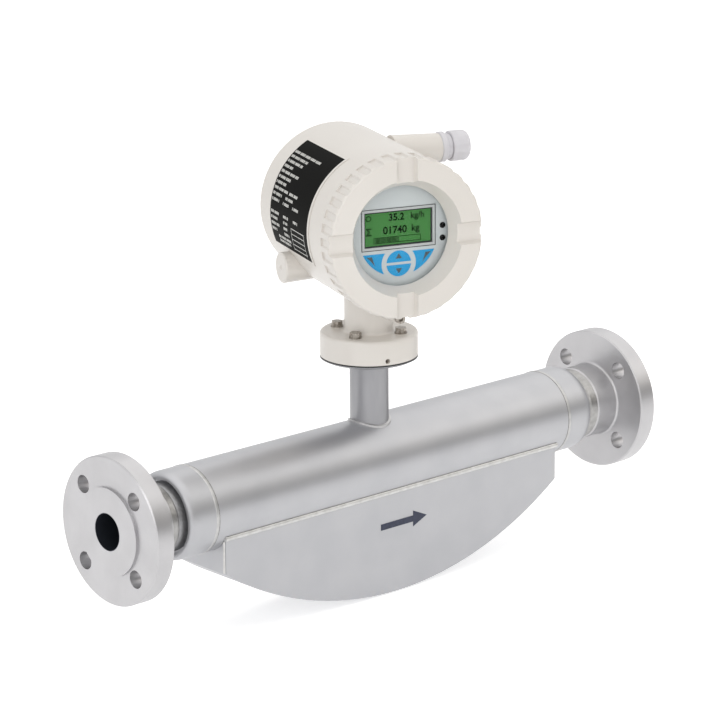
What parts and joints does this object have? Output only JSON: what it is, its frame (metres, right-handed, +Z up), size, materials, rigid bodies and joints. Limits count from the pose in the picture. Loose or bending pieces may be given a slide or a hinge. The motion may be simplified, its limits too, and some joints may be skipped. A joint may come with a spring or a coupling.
{
  "type": "coriolis flow meter",
  "caption": "Flanged mass flow meter with bowed measuring tubes in a welded steel housing and a swivelling round display head with screw covers and a cable gland.",
  "frame": {"origin": "centre of the raised face of the inlet flange", "axes": "+X along the flow to the outlet, +Z up along the neck, -Y to the front of the belly"},
  "size_m": [0.5325, 0.1837, 0.3619],
  "materials": {
    "machined_steel": "turned stainless steel, clean satin",
    "cast_steel": "cast stainless steel, bead blasted",
    "housing_steel": "bead blasted stainless sheet and tube",
    "weld_steel": "weld bead, pickled",
    "tube_steel": "drawn stainless tube",
    "arrow_print": "dark blue film",
    "coil_copper": "copper winding",
    "magnet_steel": "magnet in a steel cup",
    "sensor_ceramic": "ceramic chip in resin",
    "potting": "potting resin",
    "gasket_rubber": "black elastomer",
    "head_paint": "warm ivory powder coat on die-cast aluminium",
    "zinc_steel": "plain steel screws",
    "plate_black": "black film plate",
    "window_glass": "clear safety glass",
    "retainer_black": "black ring",
    "panel_plastic": "pale blue grey overlay",
    "frame_silver": "silver frame",
    "screen_green": "green liquid crystal",
    "key_blue": "blue touch fields",
    "sensor_black": "infrared windows",
    "module_plastic": "moulded electronics case",
    "terminal_green": "plug-in terminals",
    "gland_grey": "light grey polyamide"
  },
  "bodies": {
    "sensor": {"inlet_flange": "machined_steel", "outlet_flange": "machined_steel", "hub_welds": "weld_steel", "inlet_splitter": "cast_steel", "outlet_splitter": "cast_steel", "inlet_end_cap": "housing_steel", "outlet_end_cap": "housing_steel", "housing_tube": "housing_steel", "seam_welds": "weld_steel", "belly_front_plate": "housing_steel", "belly_back_plate": "housing_steel", "belly_rim": "housing_steel", "belly_welds": "weld_steel", "flow_arrow": "arrow_print", "measuring_tube_front": "tube_steel", "measuring_tube_back": "tube_steel", "brace_plates": "tube_steel", "drive_coil": "coil_copper", "drive_magnet": "magnet_steel", "pickoff_coils": "coil_copper", "pickoff_magnets": "magnet_steel", "temperature_sensor": "sensor_ceramic", "neck_tube": "housing_steel", "neck_weld": "weld_steel", "neck_feedthrough": "potting", "neck_plate": "housing_steel", "neck_gasket": "gasket_rubber"},
    "head": {"head_housing": "head_paint", "clamp_ring_halves": "zinc_steel", "collar_bolts": "zinc_steel", "collar_washers": "zinc_steel", "set_screw": "zinc_steel", "cover_lock_screw": "zinc_steel", "nameplate": "plate_black", "nameplate_frame": "head_paint", "electronics_module": "module_plastic", "terminal_block": "terminal_green", "gland_body": "gland_grey"},
    "cover_seal": {"cover_oring": "gasket_rubber"},
    "cover": {"front_cover": "head_paint", "cover_glass": "window_glass", "glass_retainer": "retainer_black"},
    "display": {"display_panel": "panel_plastic", "lcd_frame": "frame_silver", "lcd_screen": "screen_green", "key_pads": "key_blue", "display_sensors": "sensor_black"},
    "rear_seal": {"terminal_cover_oring": "gasket_rubber"},
    "rear_cover": {"terminal_cover": "head_paint"},
    "gland_insert": {"gland_seal": "gasket_rubber"},
    "gland_cap": {"gland_cap_nut": "gland_grey"}
  },
  "joints": [
    {"name": "head_swivel", "type": "hinge", "parent": "sensor", "child": "head", "pos_m": [0.26325, 0, 0.09], "axis": [0, 0, 1], "range_deg": [-150, 180]},
    {"name": "cover_travel", "type": "slide", "parent": "head", "child": "cover_seal", "axis": [-0.342, -0.9397, 0], "range_m": [0, 0.01]},
    {"name": "cover_turn", "type": "hinge", "parent": "cover_seal", "child": "cover", "pos_m": [0.26325, 0, 0.1964], "axis": [-0.342, -0.9397, 0], "range_deg": [0, 1800]},
    {"name": "display_turn", "type": "hinge", "parent": "head", "child": "display", "pos_m": [0.26325, 0, 0.1964], "axis": [-0.342, -0.9397, 0], "range_deg": [-90, 180]},
    {"name": "rear_travel", "type": "slide", "parent": "head", "child": "rear_seal", "axis": [0.342, 0.9397, 0], "range_m": [0, 0.01]},
    {"name": "rear_turn", "type": "hinge", "parent": "rear_seal", "child": "rear_cover", "pos_m": [0.26325, 0, 0.1964], "axis": [0.342, 0.9397, 0], "range_deg": [0, 1800]},
    {"name": "gland_travel", "type": "slide", "parent": "head", "child": "gland_insert", "axis": [0.9397, -0.342, 0], "range_m": [0, 0.006]},
    {"name": "gland_turn", "type": "hinge", "parent": "gland_insert", "child": "gland_cap", "pos_m": [0.2718, 0.02349, 0.2412], "axis": [0.9397, -0.342, 0], "range_deg": [0, 1440]}
  ],
  "couplings": [
    {"joint": "cover_travel", "follows": "cover_turn", "m_per_rad": 0.00031831},
    {"joint": "rear_travel", "follows": "rear_turn", "m_per_rad": 0.00031831},
    {"joint": "gland_travel", "follows": "gland_turn", "m_per_rad": 0.00023873}
  ]
}
